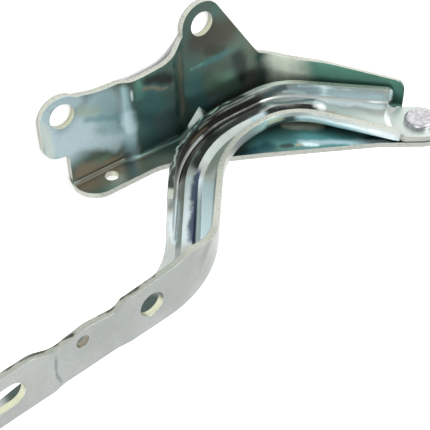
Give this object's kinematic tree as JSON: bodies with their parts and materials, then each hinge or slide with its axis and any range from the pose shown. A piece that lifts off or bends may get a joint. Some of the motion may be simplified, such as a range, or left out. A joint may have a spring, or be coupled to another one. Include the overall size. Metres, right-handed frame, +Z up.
{
  "type": "hood hinge",
  "caption": "Gooseneck hood hinge: a stamped body bracket and a stamped channel arm with a bolt-on strap, joined by one riveted pivot.",
  "frame": {"origin": "centre of the rear bolt hole, on the face that seats on the vehicle body", "axes": "+X rearwards along the body rail, +Y along the pivot axis towards the bolt lobes, +Z up, away from the body"},
  "size_m": [0.2582, 0.0672, 0.0979],
  "materials": {
    "zinc_plate": "satin",
    "zinc_plate_dark": "satin",
    "rivet_steel": "satin",
    "bush_bronze": "matte"
  },
  "bodies": {
    "bracket": {"body_bracket": "zinc_plate_dark", "pivot_rivet": "rivet_steel"},
    "arm": {"hood_arm": "zinc_plate", "pivot_bush": "bush_bronze"}
  },
  "joints": [
    {"name": "hood_pivot", "type": "hinge", "parent": "bracket", "child": "arm", "pos_m": [0.0737, -0.0521, 0.0676], "axis": [0, 1, 0], "range_deg": [0, 52]}
  ]
}
